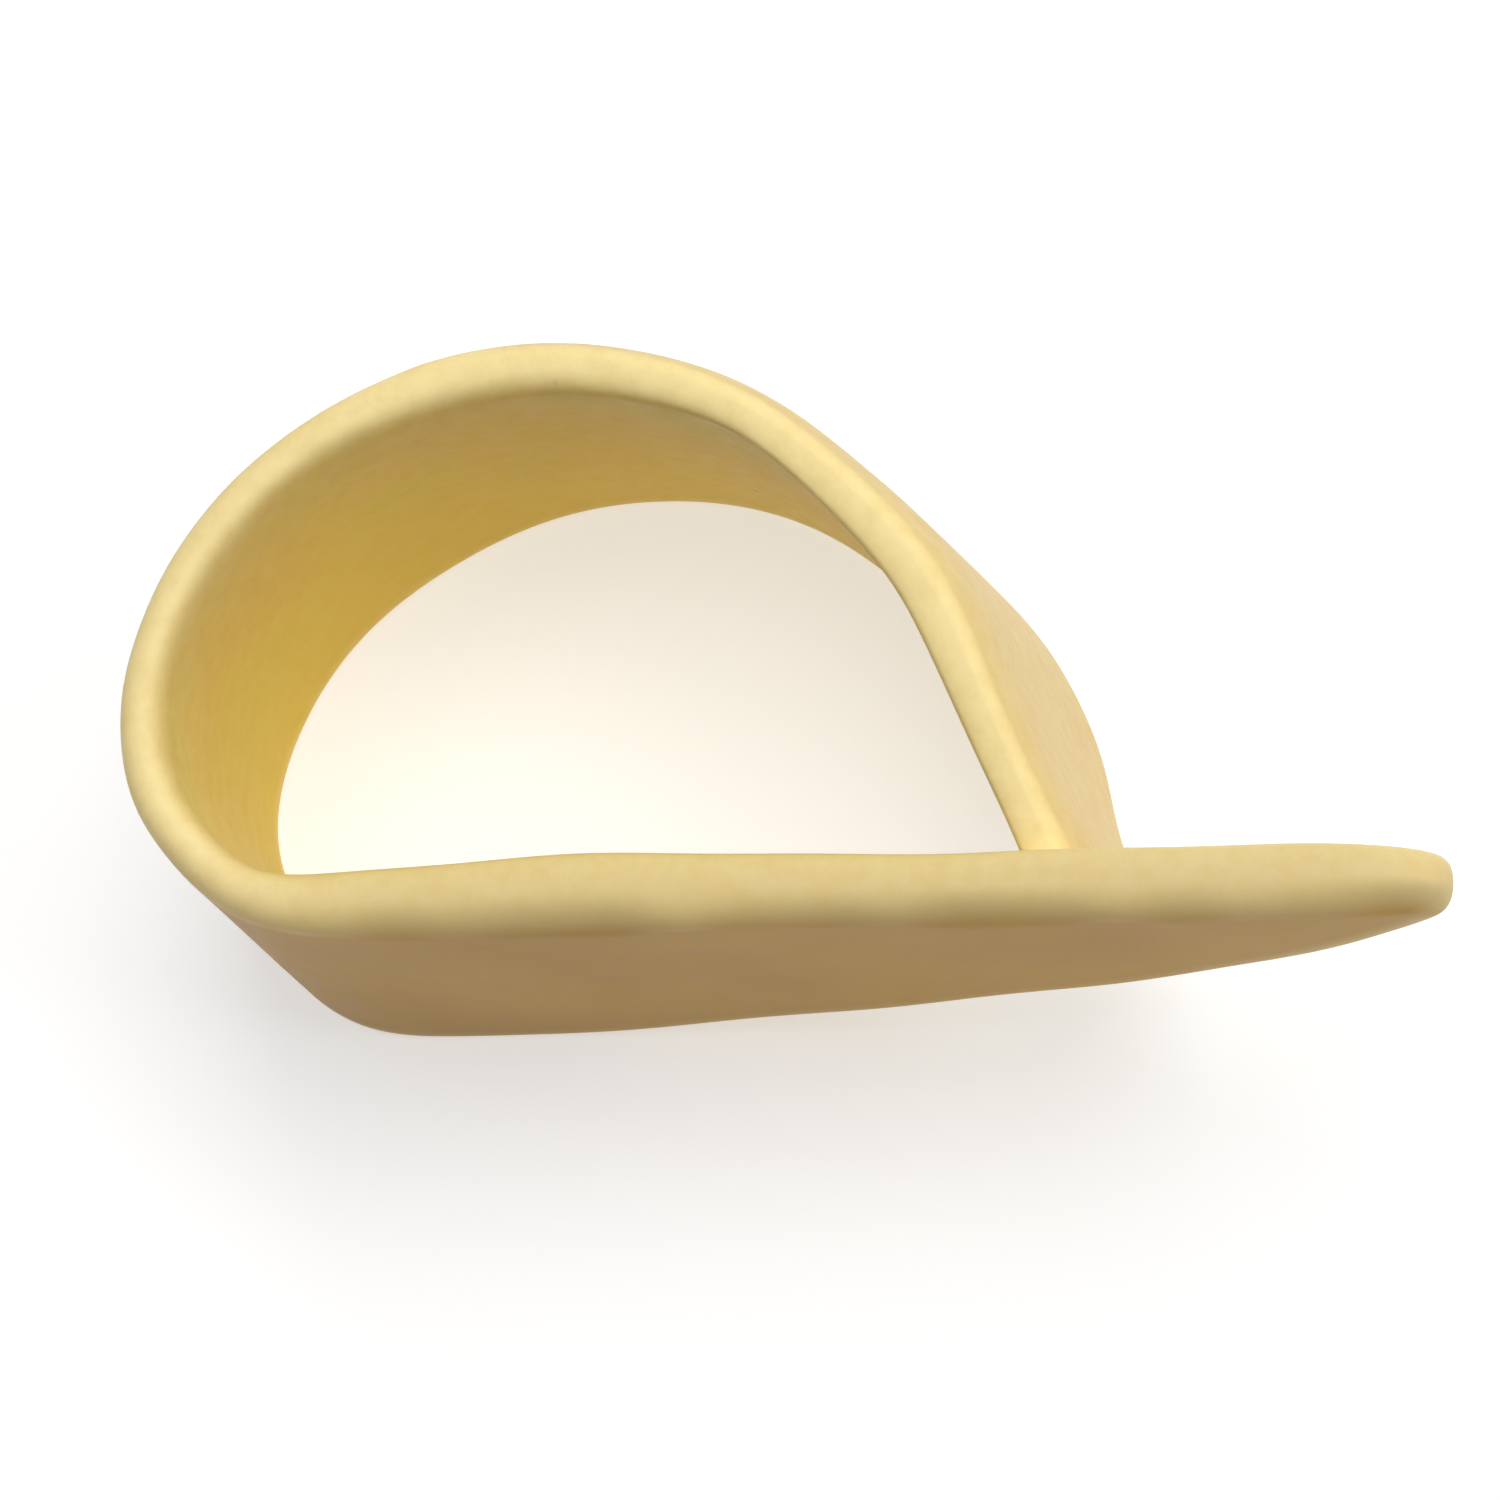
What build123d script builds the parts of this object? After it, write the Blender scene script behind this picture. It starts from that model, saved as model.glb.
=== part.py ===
"""A thumb pick: one springy strip of plastic, bent into a loop for the thumb.

The strip starts as a flat blade that tapers to the playing tip, turns up in a bend, and comes round
as the band, whose free end comes back down onto the blade. The loop's axis is Z, and the pick stands
on the lower edge of its band. X runs along the blade to the tip, and Y from the blade to the arch.
All lengths are in millimetres.

The strip is continuous at the bend. It is written as two solids that meet there face to face, so
that the band can spring open about the line where they meet.
"""

import os

from build123d import *

# Driving dimensions
WIDTH = 14.5            # of the strip, along the thumb
BAND_THICKNESS = 1.44
EDGE_ROUNDING = 0.5
END_CLEARANCE = 0.06    # between the band's free end and the blade

TIP_X = 18.07
BLADE_OUTER_Y = -8.05
BLADE_INNER_Y = -6.05
BLADE_START_X = -12.2   # where the flat blade turns into the bend
FLEX_Y = -2.3           # height at which the bend turns into the band
OUTER_X = -18.07        # outer face of the band at that height

# The band's centreline, from just inside the bend over the arch to the free end
BAND_LINE = [
    (-17.23, -3.8),
    (OUTER_X + BAND_THICKNESS / 2, FLEX_Y),
    (-16.57, 1.21),
    (-14.35, 4.17),
    (-10.39, 6.6),
    (-6.3, 7.32),
    (-2.2, 6.37),
    (2.0, 3.4),
    (4.45, 0.45),
    (5.75, -2.65),
    (7.3, -6.6),
]

# The bend's two faces, between the band and the flat blade
BEND_OUTER = (-16.6, -6.1)
BEND_INNER = (-15.9, -4.7)

# The blade in plan, as X and Z: its lower edge leaves the ground, turns at a knee and runs into the tip
TAPER_START = (-9.1, 0.0)
KNEE = (9.67, 6.5)
TAPER_ROUNDING = 20.0
KNEE_ROUNDING = 12.0
TIP_RADIUS = 1.6

# The free end's lower and upper edges, as Y and Z, downwards from the arch
END_LOWER_LINE = [(-0.7, 0.0), (-1.7, 0.6), (-3.6, 2.6), (-7.0, 6.0)]
END_UPPER_LINE = [(2.0, WIDTH), (-1.5, WIDTH - 0.3), (-7.0, WIDTH - 1.4)]

BEYOND = 5.0            # how far the trimming outlines reach past the strip

def make_blade():
    """The flat blade with its tapered tip, and the bend at its other end."""
    flex_outer, flex_inner = (OUTER_X, FLEX_Y), (OUTER_X + BAND_THICKNESS, FLEX_Y)
    with BuildPart() as blade:
        with BuildSketch():
            with BuildLine():
                Line(flex_outer, flex_inner)
                Spline(flex_inner, BEND_INNER, (BLADE_START_X, BLADE_INNER_Y), tangents=[(0, -1), (1, 0)])
                Line((BLADE_START_X, BLADE_INNER_Y), (TIP_X, BLADE_INNER_Y))
                Line((TIP_X, BLADE_INNER_Y), (TIP_X, BLADE_OUTER_Y))
                Line((TIP_X, BLADE_OUTER_Y), (BLADE_START_X, BLADE_OUTER_Y))
                Spline((BLADE_START_X, BLADE_OUTER_Y), BEND_OUTER, flex_outer, tangents=[(-1, 0), (0, 1)])
            make_face()
        extrude(amount=WIDTH)
        with BuildSketch(Plane.XZ) as plan:
            with BuildLine():
                Polyline((OUTER_X - BEYOND, WIDTH), (OUTER_X - BEYOND, 0), TAPER_START, KNEE)
                CenterArc((TIP_X - TIP_RADIUS, WIDTH - TIP_RADIUS), TIP_RADIUS, 0, 360)
            make_hull()
            for corner, radius in ((TAPER_START, TAPER_ROUNDING), (KNEE, KNEE_ROUNDING)):
                fillet(plan.vertices().sort_by_distance((corner[0], 0, corner[1]))[0], radius)
        extrude(amount=4 * BEYOND, both=True, mode=Mode.INTERSECT)
        meeting_face = blade.faces().filter_by(Plane.XZ).sort_by(Axis.Y)[-1]
        fillet(blade.edges() - meeting_face.edges(), EDGE_ROUNDING)
    blade.part.label = "blade"
    return blade.part

def outside_of_end(edge_line, outside_z):
    """The region in the YZ plane that lies beyond one edge of the free end, out to the height outside_z."""
    first, last = edge_line[0], edge_line[-1]
    with BuildSketch(Plane.YZ.offset(-BEYOND)) as region:
        with BuildLine():
            Spline(*edge_line)
            Polyline(last, (last[0], outside_z), (first[0], outside_z), first)
        make_face()
    return region.sketch

def make_band():
    """The band, from the bend round the thumb to its narrowed free end."""
    with BuildPart() as band:
        with BuildSketch():
            with BuildLine() as centreline:
                Spline(*BAND_LINE)
            trace(centreline.line, BAND_THICKNESS)
        extrude(amount=WIDTH)
        ends = [(OUTER_X, FLEX_Y, WIDTH / 2), (BAND_LINE[-1][0], BLADE_INNER_Y + END_CLEARANCE, WIDTH / 2)]
        with Locations(*ends):
            Box(2 * BEYOND, BEYOND, 2 * WIDTH, align=(Align.CENTER, Align.MAX, Align.CENTER), mode=Mode.SUBTRACT)
        for edge_line, outside_z in ((END_LOWER_LINE, -BEYOND), (END_UPPER_LINE, WIDTH + BEYOND)):
            extrude(outside_of_end(edge_line, outside_z), amount=4 * BEYOND, mode=Mode.SUBTRACT)
        meeting_face = band.faces().filter_by(Plane.XZ).sort_by(Axis.X)[0]
        fillet(band.edges() - meeting_face.edges(), EDGE_ROUNDING)
    band.part.label = "thumb_band"
    return band.part

os.makedirs("parts", exist_ok=True)
for piece in (make_blade(), make_band()):
    export_step(piece, f"parts/{piece.label}.step")
    print(piece.label, round(piece.volume, 1), piece.bounding_box().min, piece.bounding_box().max)
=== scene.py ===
"""A cream plastic thumb pick: one springy strip, bent into a loop for the thumb, standing on its edge.

The strip is lofted from measured stations along its centreline. It is cut across at the right of the
arch into two closed pieces, and the free end is hung on the band so that it can lift off the blade.
Lengths are in millimetres until they go into a mesh or the camera. The stage is laid out in metres.
"""

import math

import bpy
import numpy as np
from mathutils import Matrix, Vector


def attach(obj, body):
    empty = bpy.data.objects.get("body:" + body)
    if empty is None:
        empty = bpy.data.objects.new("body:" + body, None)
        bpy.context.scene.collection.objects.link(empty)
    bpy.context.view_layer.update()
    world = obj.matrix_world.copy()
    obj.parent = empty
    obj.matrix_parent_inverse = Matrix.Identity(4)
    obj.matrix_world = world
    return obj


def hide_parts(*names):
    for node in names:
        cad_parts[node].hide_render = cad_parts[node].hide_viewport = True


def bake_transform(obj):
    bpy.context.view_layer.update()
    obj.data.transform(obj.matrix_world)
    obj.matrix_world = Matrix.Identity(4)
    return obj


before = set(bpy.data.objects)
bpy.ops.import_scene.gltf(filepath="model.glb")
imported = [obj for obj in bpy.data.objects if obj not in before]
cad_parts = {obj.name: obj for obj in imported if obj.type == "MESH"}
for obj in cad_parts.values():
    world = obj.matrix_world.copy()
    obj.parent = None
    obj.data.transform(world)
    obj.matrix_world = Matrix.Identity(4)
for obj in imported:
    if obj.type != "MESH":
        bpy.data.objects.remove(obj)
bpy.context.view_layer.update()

MM = 0.001
WIDTH = 14.5  # of the strip, which is the pick's height as it stands

# ---------------------------------------------------------------- camera

VIEW_DIRECTION = Vector((0.2175, -0.206, 0.954)).normalized()  # from the pick to the camera
ROLL = math.radians(1.31)
DISTANCE = 1110.0
LENS = 1003.5
VIEW_CENTRE = (-0.78, -3.32)  # what the camera looks at, across and up from the middle of the upper edge


def make_camera():
    """The camera, a long lens high above the side of the pick."""
    across = (Vector((1, 0, 0)) - VIEW_DIRECTION * VIEW_DIRECTION.x).normalized()
    up = VIEW_DIRECTION.cross(across)
    right = across * math.cos(ROLL) - up * math.sin(ROLL)
    up = up * math.cos(ROLL) + across * math.sin(ROLL)
    centre = Vector((0, 0, WIDTH)) + right * VIEW_CENTRE[0] + up * VIEW_CENTRE[1]
    place = centre + VIEW_DIRECTION * DISTANCE
    data = bpy.data.cameras.new("camera")
    data.lens, data.sensor_width = LENS, 36.0
    data.clip_start, data.clip_end = 0.05, 20.0
    camera = bpy.data.objects.new("camera", data)
    turn = Matrix((right, up, VIEW_DIRECTION)).transposed().to_4x4()
    camera.matrix_world = Matrix.Translation(place * MM) @ turn
    bpy.context.scene.collection.objects.link(camera)
    bpy.context.scene.camera = camera


# ---------------------------------------------------------------- the strip's lines

# Centreline from the tip to the free end: X, Y, and the strip's thickness there
CENTRELINE = [
    (18.1, -7.12, 1.5), (16.2, -7.1, 1.78), (13.0, -7.1, 1.88), (6.0, -7.13, 1.84), (0.0, -7.07, 1.94),
    (-5.0, -7.04, 2.0), (-9.0, -7.13, 1.86), (-12.0, -7.18, 1.7), (-14.4, -6.85, 1.5), (-16.1, -5.55, 1.32),
    (-17.12, -3.95, 1.22), (-17.44, -2.5, 1.17), (-17.42, -1.3, 1.17), (-17.0, 0.39, 1.15),
    (-15.76, 2.67, 1.18), (-13.46, 4.98, 1.33), (-10.37, 6.6, 1.46), (-6.25, 7.32, 1.54),
    (-3.17, 6.82, 1.5), (-1.07, 5.91, 1.46), (1.05, 4.34, 1.52), (2.5, 2.98, 1.64), (3.9, 1.23, 1.68),
    (4.71, -0.3, 1.6), (5.34, -1.74, 1.52), (5.96, -3.2, 1.52), (6.69, -4.84, 1.57), (7.28, -6.16, 1.62),
]

# The blade in plan: X and Z of its lower edge, round the tip, and back to the upper edge
BLADE_LOWER = [
    (-14.0, 0.0), (-11.0, 0.0), (-8.5, 0.12), (-5.5, 0.8), (-1.9, 1.85), (1.55, 2.9), (5.1, 4.2),
    (8.7, 5.75), (11.5, 7.3), (14.4, 9.3), (16.3, 10.8), (17.4, 11.75), (18.0, 12.55), (18.1, 13.0),
]
BLADE_UPPER = [(18.1, 13.0), (18.0, 13.55), (17.5, 14.15), (16.6, 14.43), (15.3, 14.5), (13.0, 14.5)]

# The free end: Y and Z of its lower and upper edges
END_LOWER = [(1.0, 0.0), (-0.9, 0.05), (-2.0, 0.8), (-3.6, 2.6), (-6.0, 5.0)]
END_UPPER = [(3.0, 14.5), (0.5, 14.45), (-1.5, 14.2), (-6.0, 13.3)]

# How far in from the upper edge the rounding reaches, on the blade, the arch and the free end
INNER_ROUND = (0.4, 1.2, 0.22)
OUTER_ROUND = (1.2, 0.6, 3.4)
LOWER_ROUND = 0.5         # the same from the lower edge, on both faces
EDGE_POWERS = (2.5, 2.2)  # inner and outer face: 2 is a true round, more is squarer
END_ROUND = 0.16          # the free end's own rounding, small because it sits flat on the blade
END_TILT = 2.5            # length over which the cross-sections turn to lie flat on the blade
BLADE_TO_ARCH = (28, 36)  # the stretch over which the blade's rounding turns into the arch's
ARCH_TO_END = (24, 14)    # and the arch's into the free end's, counted back from the free end
LUMPS_STOP = 34           # the blade's uneven rounding fades out just before this

BLADE_STATIONS = 33       # the blade's edge lines hold up to here along the strip
END_STATIONS = 16         # and the free end's lines from this far before it
GROUND_X = -11            # the blade stands on the ground beyond this
CUT_Y = 3.4               # where the strip is cut across, on the right of the arch

LINE_SAMPLES = 6000
EDGE_SAMPLES = 600
STATION_STEP = 0.24
TIP_REACH = 1.6           # the stations lie closer together within this of the tip
TIP_COUNT = 14
END_COUNT = 6
EDGE_REACH = 1.6          # the rows lie closer together within this of an edge
EDGE_SHARE = 0.42         # but at most over this share of the width
EDGE_ROWS = 11
FACE_ROWS = 15


def smooth(points, count):
    """A natural cubic spline through points of any dimension, sampled at count places."""
    p = np.array(points, float)
    t = np.r_[0, np.cumsum(np.linalg.norm(np.diff(p[:, :2], axis=0), axis=1))]
    h, n = np.diff(t), len(p)
    a, b = np.eye(n), np.zeros_like(p)
    for i in range(1, n - 1):
        a[i, i - 1:i + 2] = h[i - 1], 2 * (h[i - 1] + h[i]), h[i]
        b[i] = 6 * ((p[i + 1] - p[i]) / h[i] - (p[i] - p[i - 1]) / h[i - 1])
    m = np.linalg.solve(a, b)
    x = np.linspace(0, t[-1], count)
    k = np.clip(np.searchsorted(t, x) - 1, 0, n - 2)
    u, v, hk = (t[k + 1] - x)[:, None], (x - t[k])[:, None], h[k][:, None]
    curve = (m[k] * u**3 + m[k + 1] * v**3) / (6 * hk)
    return curve + (p[k] / hk - m[k] * hk / 6) * u + (p[k + 1] / hk - m[k + 1] * hk / 6) * v


def edge_of(points, at):
    """Second coordinate of the smooth line through points, at these first coordinates."""
    line = smooth(points, EDGE_SAMPLES)
    order = np.argsort(line[:, 0])
    return np.interp(at, line[order, 0], line[order, 1])


def distance_to(line, s, z):
    """Distance from each (s, z) to a polyline, looked for in its nearby segments only."""
    nearby = 3.0
    a, b = line[:-1], line[1:]
    ab = b - a
    best = np.full(s.shape, 1e9)
    for i in range(s.shape[0]):
        near = (np.abs(a[:, 0] - s[i, 0]) < nearby) | (np.abs(b[:, 0] - s[i, 0]) < nearby)
        q = np.stack([s[i], z[i]], -1)[:, None, :] - a[near]
        along = np.clip((q * ab[near]).sum(-1) / np.maximum((ab[near] ** 2).sum(-1), 1e-12), 0, 1)
        best[i] = np.linalg.norm(q - along[..., None] * ab[near], axis=-1).min(1)
    return best


def rounding(distance, reach, power):
    """Share of the half thickness at this distance from an edge."""
    inward = np.clip(distance / reach, 0, 1)
    return (1 - (1 - inward) ** power) ** (1 / power)


def opening_out(count):
    """Places from 0 to 1 that lie closest together at 0."""
    return 1 - np.cos(np.linspace(0, math.pi / 2, count))


def wave(s, z, height, along, across=0.0, phase=0.0):
    """A sine wave over the strip."""
    return height * np.sin(s * along + z * across + phase)


class Strip:
    """The whole strip as a grid: stations along it by rows across it, on an inner and an outer face."""

    def __init__(self):
        self.lay_stations()
        self.lay_rows()
        self.round_edges()
        self.lay_faces()
        self.join_faces()

    def lay_stations(self):
        """How far along each station is, its place and thickness, the way ahead and the way to the thumb."""
        line = smooth(CENTRELINE, LINE_SAMPLES)
        run = np.r_[0, np.cumsum(np.linalg.norm(np.diff(line[:, :2], axis=0), axis=1))]
        self.length = run[-1]
        tip = TIP_REACH * opening_out(TIP_COUNT)
        end = self.length - END_ROUND * opening_out(END_COUNT)[::-1]
        middle = np.linspace(tip[-1], end[0], int((end[0] - tip[-1]) / STATION_STEP) + 1)
        self.station = np.r_[tip, middle[1:-1], end]
        self.x, self.y, self.thick = (np.interp(self.station, run, line[:, i]) for i in range(3))
        step = 0.05
        ahead = np.clip(self.station + step, 0, self.length)
        behind = np.clip(self.station - step, 0, self.length)
        moved = [np.interp(ahead, run, line[:, i]) - np.interp(behind, run, line[:, i]) for i in (0, 1)]
        self.tangent = np.stack(moved, -1)
        self.tangent /= np.linalg.norm(self.tangent, axis=1)[:, None]
        self.inward = np.stack([self.tangent[:, 1], -self.tangent[:, 0]], -1)

    def lay_rows(self):
        """Heights of the rows between the strip's two edges, and each point's distance to an edge."""
        x, y, station = self.x, self.y, self.station
        on_blade, on_end = station < BLADE_STATIONS, station > self.length - END_STATIONS
        low, high = np.zeros_like(x), np.full_like(x, WIDTH)
        low[on_blade] = edge_of(BLADE_LOWER, x[on_blade])
        high[on_blade] = edge_of(BLADE_UPPER, x[on_blade])
        low[on_end] = edge_of(END_LOWER, y[on_end])
        high[on_end] = edge_of(END_UPPER, y[on_end])
        low = np.where(on_blade & (x < GROUND_X), 0, low)
        wide = high - low
        reach = np.minimum(EDGE_REACH, EDGE_SHARE * wide)
        edge = opening_out(EDGE_ROWS + 1) * reach[:, None]
        face = reach[:, None] + (wide - 2 * reach)[:, None] * np.linspace(0, 1, FACE_ROWS + 1)[1:-1]
        self.z = low[:, None] + np.concatenate([edge, face, wide[:, None] - edge[:, ::-1]], 1)
        self.s = np.repeat(station[:, None], self.z.shape[1], 1)
        self.low, self.wide = low[:, None], wide[:, None]

        tip = [0, (low[0] + high[0]) / 2]
        lower, upper = np.vstack([tip, np.stack([station, low], -1)]), np.stack([station, high], -1)
        to_lower, to_upper = distance_to(lower, self.s, self.z), distance_to(upper, self.s, self.z)
        self.to_edge = np.minimum(to_lower, to_upper)
        self.to_edge[:, 0] = self.to_edge[:, -1] = self.to_edge[0, :] = 0

    def round_edges(self):
        """Share of the half thickness that each point keeps, on the inner and on the outer face."""
        s, z = self.s, self.z
        marks = (*BLADE_TO_ARCH, self.length - ARCH_TO_END[0], self.length - ARCH_TO_END[1])
        inner, outer = (np.interp(s, marks, (r[0], r[1], r[1], r[2])) for r in (INNER_ROUND, OUTER_ROUND))
        lumps = wave(s, z, 0.3, 0.52, phase=1.3) + wave(s, z, 0.25, 1.13, phase=0.2)
        lumps = lumps + wave(s, z, 0.12, 2.05, 0.4)
        outer = outer + lumps * np.clip((LUMPS_STOP - s) / 6, 0.1, 1)
        upper = np.clip((z - self.low) / self.wide.clip(0.1) * 2.5 - 0.75, 0, 1)
        at_end = rounding(self.length - s, END_ROUND, 2.0)
        self.shares = []
        for reach, power in zip((inner, outer), EDGE_POWERS):
            reach = LOWER_ROUND + (reach - LOWER_ROUND) * upper
            self.shares.append(rounding(self.to_edge, reach, power) * at_end)

    def lay_faces(self):
        """X and Y of every point of the two faces, which were finished by hand and are not quite flat."""
        s, z, inward, tangent = self.s, self.z, self.inward, self.tangent
        bulge_in = wave(s, z, 0.035, 0.42, phase=0.9) * np.cos(z * 0.21 + 0.4) + wave(s, z, 0.02, 0.95, 0.3)
        bulge_out = wave(s, z, 0.04, 0.36, phase=2.1) * np.cos(z * 0.19 + 1.1)
        bulge_out = bulge_out + wave(s, z, 0.02, 0.81, -0.27, 0.7)
        half = self.thick[:, None] / 2
        tilt = np.clip((self.station - self.length + END_TILT) / END_TILT, 0, 1)
        slant = (tilt * tilt * (3 - 2 * tilt) * -inward[:, 1] / tangent[:, 1].clip(None, -0.5))[:, None]
        self.faces_xy = []
        for sign, bulge, share in ((1, bulge_in, self.shares[0]), (-1, bulge_out, self.shares[1])):
            off = sign * (half + bulge) * share
            self.faces_xy.append([
                centre[:, None] + inward[:, i:i + 1] * off + tangent[:, i:i + 1] * slant * off
                for i, centre in enumerate((self.x, self.y))
            ])

    def add_point(self, side, i, j):
        """Keep one point of a face with its strip coordinates, and return its number."""
        face_x, face_y = self.faces_xy[side]
        s, z = self.s[i, j], self.z[i, j]
        self.place.append((face_x[i, j], face_y[i, j], z))
        inside = 0.5 + (0.5 if side == 0 else -0.5) * self.shares[side][i, j]
        pale = min(max((s - 35) / 8, 0), 1) * min(2 - 2 * inside, 1)
        self.coordinates.append((s, z, self.to_edge[i, j], inside, pale))
        return len(self.place) - 1

    def join_faces(self):
        """Number the points and join them up.

        The two faces share their edges. The tip is one point, and the free end one line.
        """
        count, rows = self.z.shape
        number = np.full((2, count, rows), -1)
        self.place, self.coordinates = [], []
        number[:, 0, :] = self.add_point(0, 0, 0)
        for i in range(1, count):
            for j in range(rows):
                number[0, i, j] = self.add_point(0, i, j)
                shared = j in (0, rows - 1) or i == count - 1
                number[1, i, j] = number[0, i, j] if shared else self.add_point(1, i, j)
        self.place, self.coordinates = np.array(self.place), np.array(self.coordinates)

        self.faces, self.face_station = [], []
        for i in range(count - 1):
            for j in range(rows - 1):
                for side, grid in enumerate(number):
                    quad = [grid[i, j], grid[i, j + 1], grid[i + 1, j + 1], grid[i + 1, j]]
                    quad = quad[::-1] if side else quad
                    quad = [int(v) for k, v in enumerate(quad) if v != quad[k - 1]]
                    if len(set(quad)) >= 3:
                        self.faces.append(quad)
                        self.face_station.append(i)
        after_blade = self.station > 60
        self.cut = int(np.flatnonzero((self.y < CUT_Y) & (self.x > 0) & after_blade)[0])
        inner, outer = number[0, self.cut], number[1, self.cut, 1:-1][::-1]
        self.ring = [int(v) for v in (*inner, *outer)]


def add_attribute(mesh, name, values):
    """A number, or a vector of three, on every vertex."""
    kind, field = ("FLOAT", "value") if values.ndim == 1 else ("FLOAT_VECTOR", "vector")
    mesh.attributes.new(name, kind, "POINT").data.foreach_set(field, values.astype(np.float32).ravel())


def normals_of(strip):
    """Normals of the uncut strip, so that the cut doesn't show."""
    whole = bpy.data.meshes.new("whole")
    whole.from_pydata((strip.place * MM).tolist(), [], strip.faces)
    normals = [tuple(v.normal) for v in whole.vertices]
    bpy.data.meshes.remove(whole)
    return normals


def add_piece(name, strip, first, material):
    """One closed piece of the strip: the part before the cut, or the part after it."""
    normals = normals_of(strip)
    mine = [face for face, i in zip(strip.faces, strip.face_station) if (i < strip.cut) == first]
    cap = strip.ring if first else strip.ring[::-1]
    used = sorted({v for face in mine for v in face})
    index = {v: k for k, v in enumerate(used)}
    mesh = bpy.data.meshes.new(name)
    polygons = [[index[v] for v in face] for face in mine + [cap]]
    mesh.from_pydata((strip.place[used] * MM).tolist(), [], polygons)
    add_attribute(mesh, "strip", strip.coordinates[used, :3])
    add_attribute(mesh, "inside", strip.coordinates[used, 3])
    add_attribute(mesh, "pale", strip.coordinates[used, 4])
    mesh.polygons.foreach_set("use_smooth", [True] * len(mine) + [False])
    cap_normal = tuple(mesh.polygons[len(mine)].normal)
    corners = [normals[v] for face in mine for v in face] + [cap_normal] * len(cap)
    mesh.normals_split_custom_set(corners)
    mesh.materials.append(material)
    piece = bpy.data.objects.new(name, mesh)
    bpy.context.scene.collection.objects.link(piece)
    return piece


# ---------------------------------------------------------------- materials


# Linear colours of the plastic
# The two outer colours are painted shade: brown where the outer face turns away from the lights
OUTER_PAINTED_SHADE_DEEP, OUTER_PAINTED_SHADE_SOFT = (0.43, 0.215, 0.006, 1), (0.5, 0.265, 0.012, 1)
INNER_ORANGE, INNER_OLIVE = (0.80, 0.57, 0.03, 1), (0.72, 0.64, 0.012, 1)
# Inside, the lower colour is painted shade and the upper one painted light
INNER_PAINTED_SHADE, INNER_PAINTED_LIGHT, INNER_TIP = (0.7, 0.5, 0.015, 1), (0.93, 0.74, 0.22, 1), (0.82, 0.63, 0.24, 1)
# The edge colours are painted light on the edges; on the band the same colour is also the cream of its outer
# face
BLADE_EDGE_PAINTED_LIGHT, BAND_EDGE_PAINTED_LIGHT_AND_CREAM = (0.80, 0.64, 0.32, 1), (0.95, 0.77, 0.36, 1)
MOTTLE, SPECK = (0.66, 0.43, 0.1, 1), (0.25, 0.16, 0.06, 1)


class Nodes:
    """Short forms for building a node tree."""

    def __init__(self, name):
        self.material = bpy.data.materials.new(name)
        self.material.use_nodes = True
        self.tree = self.material.node_tree
        self.shader = self.tree.nodes["Principled BSDF"]

    def add(self, kind, inputs=None, **settings):
        node = self.tree.nodes.new(kind)
        for key, value in settings.items():
            setattr(node, key, value)
        for key, value in (inputs or {}).items():
            self.put(value, node.inputs[key])
        return node

    def put(self, value, socket):
        if isinstance(value, bpy.types.NodeSocket):
            self.tree.links.new(value, socket)
        else:
            socket.default_value = value

    def math(self, operation, a, b):
        return self.add("ShaderNodeMath", {0: a, 1: b}, operation=operation).outputs[0]

    def times(self, a, b):
        return self.math("MULTIPLY", a, b)

    def plus(self, a, b):
        return self.math("ADD", a, b)

    def attribute(self, name, output="Fac"):
        return self.add("ShaderNodeAttribute", attribute_name=name).outputs[output]

    def noise(self, vector, scale, detail=3.0, roughness=0.5):
        inputs = {"Vector": vector, "Scale": scale, "Detail": detail, "Roughness": roughness}
        return self.add("ShaderNodeTexNoise", inputs).outputs["Fac"]

    def ramp(self, value, low, high):
        """0 below low, 1 above high, and smooth between."""
        inputs = {"Value": value, "From Min": low, "From Max": high}
        return self.add("ShaderNodeMapRange", inputs, interpolation_type="SMOOTHSTEP").outputs["Result"]

    def mix(self, factor, a, b):
        node = self.add("ShaderNodeMix", data_type="RGBA", blend_type="MIX")
        for value, socket in zip((factor, a, b), (node.inputs[0], node.inputs[6], node.inputs[7])):
            self.put(value, socket)
        return node.outputs[2]


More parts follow.
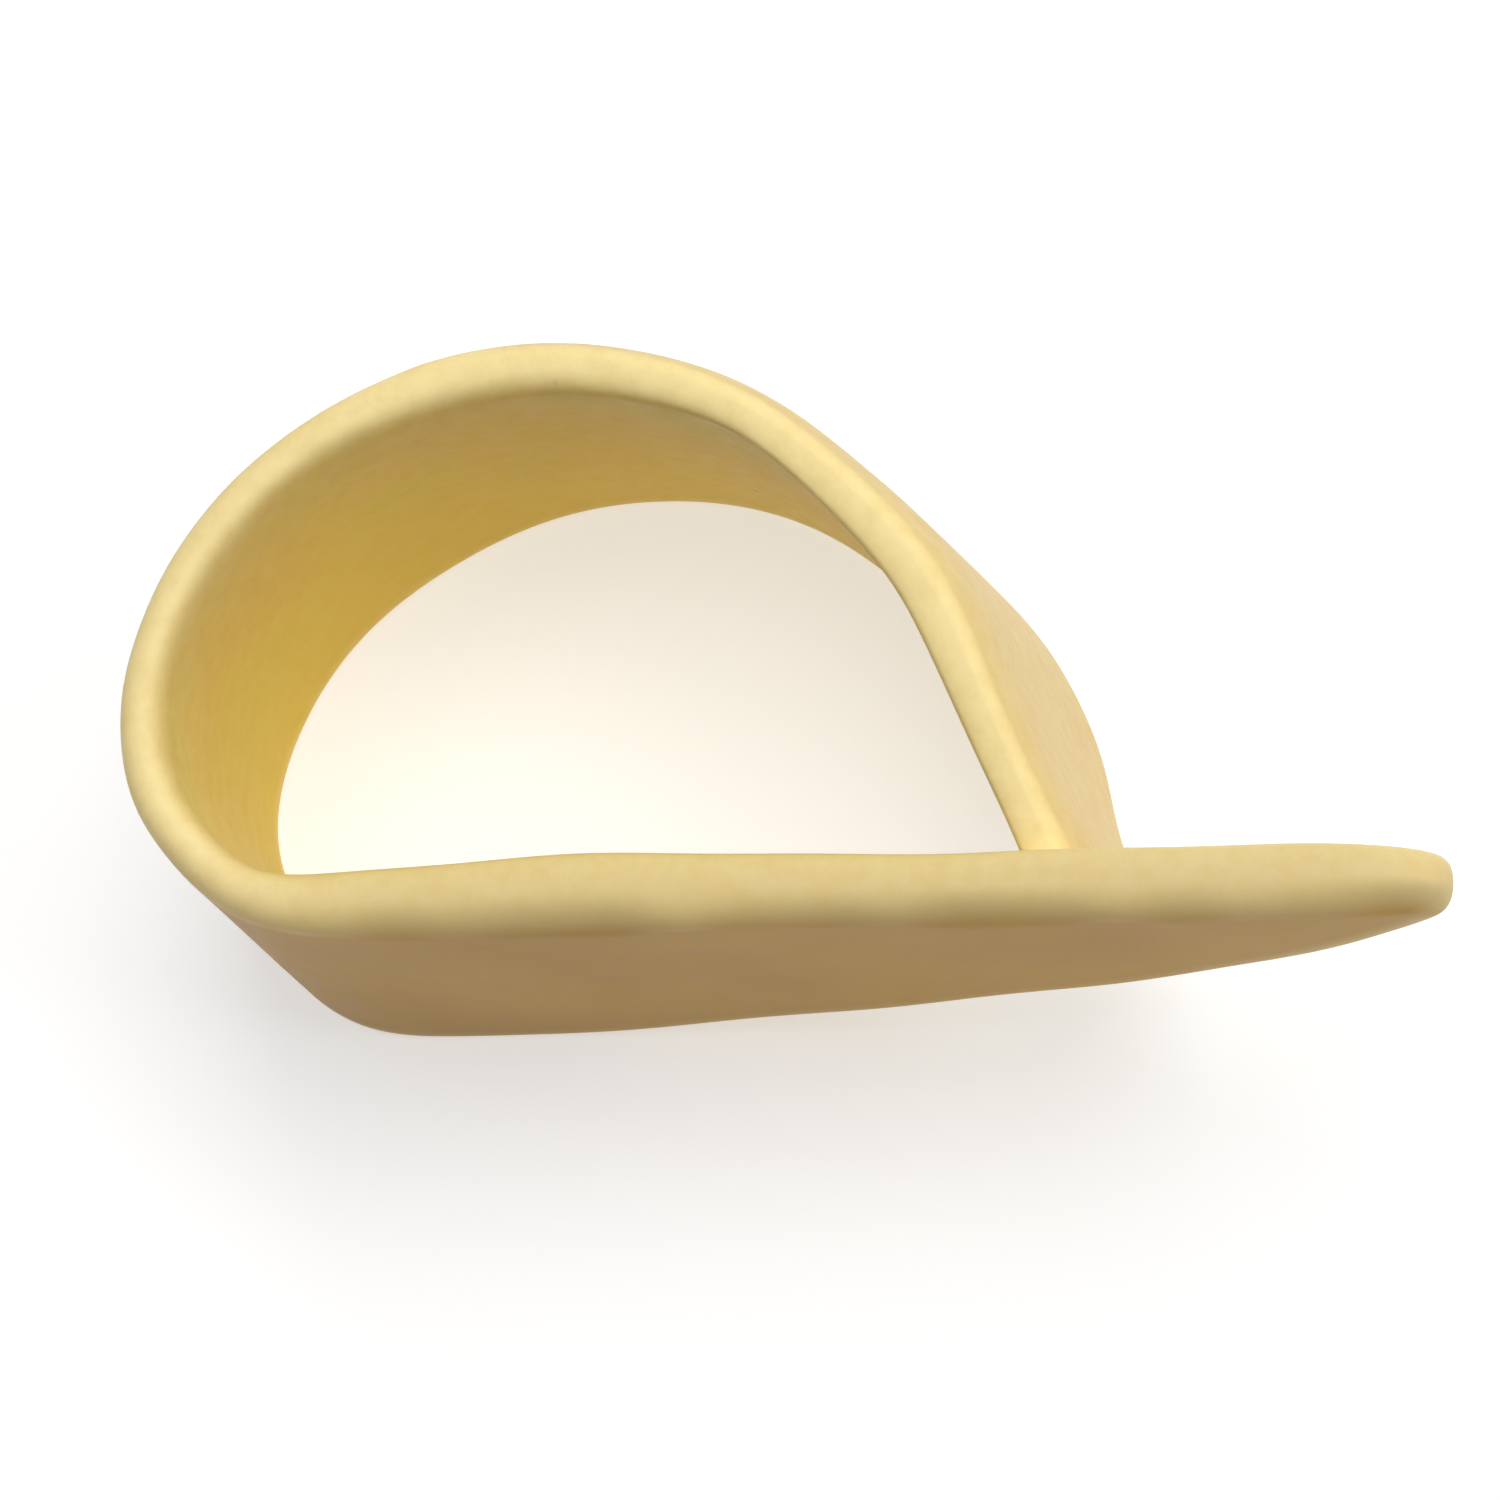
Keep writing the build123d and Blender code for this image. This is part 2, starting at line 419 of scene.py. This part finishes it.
def plastic_colour(n, along, up, from_edge, point, fine):
    """Golden inside the loop, with painted shade low and painted light high; browner outside, which is
    painted shade; paler at the edges in painted light; and cream on the band.
    """
    cloud, drift = n.noise(point, 160.0, 3.0), n.noise(point, 55.0, 1.0)
    shade = n.ramp(n.plus(n.times(cloud, 0.45), n.times(drift, 0.55)), 0.38, 0.62)
    # painted shade: the outer faces brown, mottled at random between two tones
    outer = n.mix(shade, OUTER_PAINTED_SHADE_DEEP, OUTER_PAINTED_SHADE_SOFT)
    inner = n.mix(shade, INNER_ORANGE, INNER_OLIVE)
    # painted shade towards the lower edge inside, and painted light towards the upper edge
    inner = n.mix(n.ramp(up, 11.0, 1.0), inner, INNER_PAINTED_SHADE)
    inner = n.mix(n.times(n.ramp(up, 8.5, 15.0), 0.5), inner, INNER_PAINTED_LIGHT)
    inner = n.mix(n.times(n.ramp(along, 17.0, 8.0), 0.75), inner, INNER_TIP)
    body = n.mix(n.attribute("inside"), outer, inner)

    band = n.ramp(along, 28.0, 36.0)
    # painted light: the edges paler, more so at the upper edge, which faces the lights, and more on the band
    edge = n.ramp(n.plus(from_edge, n.times(cloud, 0.5)), 1.5, 0.25)
    edge = n.times(edge, n.plus(0.3, n.times(n.ramp(up, 5.0, 10.0), 0.5)))
    edge = n.times(edge, n.plus(1.0, n.times(band, 0.25)))
    # on the band's outer face the pale colour is the plastic's cream
    edge = n.math("MAXIMUM", edge, n.times(n.attribute("pale"), 0.6))
    colour = n.mix(edge, body, n.mix(band, BLADE_EDGE_PAINTED_LIGHT, BAND_EDGE_PAINTED_LIGHT_AND_CREAM))
    return n.mix(n.times(n.ramp(fine, 0.3, 0.8), 0.24), colour, MOTTLE)


def specks(n, point):
    """Sparse small specks, as a mask."""
    cells = n.add("ShaderNodeTexVoronoi", {"Vector": point, "Scale": 640.0, "Randomness": 1.0}).outputs
    pick = n.add("ShaderNodeSeparateColor", {"Color": cells["Color"]}).outputs["Red"]
    return n.times(n.ramp(cells["Distance"], 0.1, 0.03), n.ramp(pick, 0.955, 0.965))


def scuff_marks(n, strip):
    """Short scuffs drawn out along the strip, as a mask."""
    placing = {"Vector": strip, "Scale": (0.22, 3.2, 0.0), "Rotation": (0, 0, 0.05)}
    drawn = n.add("ShaderNodeMapping", placing).outputs["Vector"]
    return n.ramp(n.noise(drawn, 2.2, 5.0, 0.65), 0.62, 0.7)


def cream_plastic(name):
    """Old cream celluloid, tumbled to a satin finish. Its colour also holds painted shade and painted light.
    """
    n = Nodes(name)
    strip = n.attribute("strip", "Vector")
    along, up, from_edge = n.add("ShaderNodeSeparateXYZ", {"Vector": strip}).outputs
    point = n.add("ShaderNodeTexCoord").outputs["Object"]
    fine = n.noise(point, 1500.0, 4.0, 0.7)
    scuffs = scuff_marks(n, strip)

    colour = plastic_colour(n, along, up, from_edge, point, fine)
    colour = n.mix(n.times(specks(n, point), 0.5), colour, SPECK)
    rough = n.plus(0.42, n.times(n.ramp(fine, 0.3, 0.8), 0.12))
    rough = n.plus(rough, n.times(scuffs, 0.08))
    height = n.plus(n.times(n.noise(point, 330.0, 2.0), 0.5), n.times(fine, 0.05))
    height = n.math("SUBTRACT", height, n.times(scuffs, 0.012))
    bump = n.add("ShaderNodeBump", {"Height": height, "Strength": 0.4, "Distance": 0.00015})

    n.put(colour, n.shader.inputs["Base Color"])
    n.put(rough, n.shader.inputs["Roughness"])
    n.put(bump.outputs["Normal"], n.shader.inputs["Normal"])
    n.shader.inputs["IOR"].default_value = 1.5
    n.shader.inputs["Specular IOR Level"].default_value = 0.2
    return n.material


def floor_paper():
    """Plain pale studio floor with the faintest unevenness."""
    n = Nodes("floor_paper")
    point = n.add("ShaderNodeTexCoord").outputs["Object"]
    shade = n.noise(point, 9.0, 2.0)
    n.put(n.mix(shade, (0.585, 0.585, 0.59, 1), (0.605, 0.605, 0.61, 1)), n.shader.inputs["Base Color"])
    n.shader.inputs["Roughness"].default_value = 0.85
    n.shader.inputs["Emission Color"].default_value = (1, 1, 1, 1)
    n.shader.inputs["Emission Strength"].default_value = 0.53
    n.shader.inputs["Specular IOR Level"].default_value = 0.2
    return n.material


# ---------------------------------------------------------------- stage


def make_floor():
    """A flat sheet under the pick."""
    half = 3.0
    mesh = bpy.data.meshes.new("floor")
    corners = [(-half, -half, 0), (half, -half, 0), (half, half, 0), (-half, half, 0)]
    mesh.from_pydata(corners, [], [(0, 1, 2, 3)])
    mesh.materials.append(floor_paper())
    floor = bpy.data.objects.new("floor", mesh)
    bpy.context.scene.collection.objects.link(floor)


def add_light(name, place, size, power):
    """A soft white area light that faces the pick."""
    data = bpy.data.lights.new(name, "AREA")
    data.shape, data.size, data.size_y = "RECTANGLE", size[0], size[1]
    data.energy = power
    light = bpy.data.objects.new(name, data)
    light.location = place
    light.rotation_euler = (-Vector(place)).to_track_quat("-Z", "Y").to_euler()
    bpy.context.scene.collection.objects.link(light)


def make_lights():
    """Soft studio light, mostly from beyond the arch and above."""
    add_light("key", (0.3, 1.5, 1.5), (1.4, 1.0), 10.5)
    add_light("top", (0.2, 0.55, 2.4), (1.7, 1.7), 37.0)
    add_light("side", (1.5, 0.1, 1.5), (1.0, 1.0), 12.5)
    world = bpy.data.worlds.new("studio")
    world.use_nodes = True
    background = world.node_tree.nodes["Background"]
    background.inputs["Color"].default_value = (1.0, 0.995, 0.985, 1)
    background.inputs["Strength"].default_value = 0.1
    bpy.context.scene.world = world
    bpy.context.scene.view_settings.view_transform = "Standard"


make_camera()
strip = Strip()
bend_piece = add_piece("strip_blade_and_bend", strip, True, cream_plastic("cream_plastic"))
end_piece = add_piece("strip_free_end", strip, False, bend_piece.data.materials[0])
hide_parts("blade")
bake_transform(bend_piece)
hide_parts("thumb_band")
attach(end_piece, "pick_band")
make_floor()
make_lights()
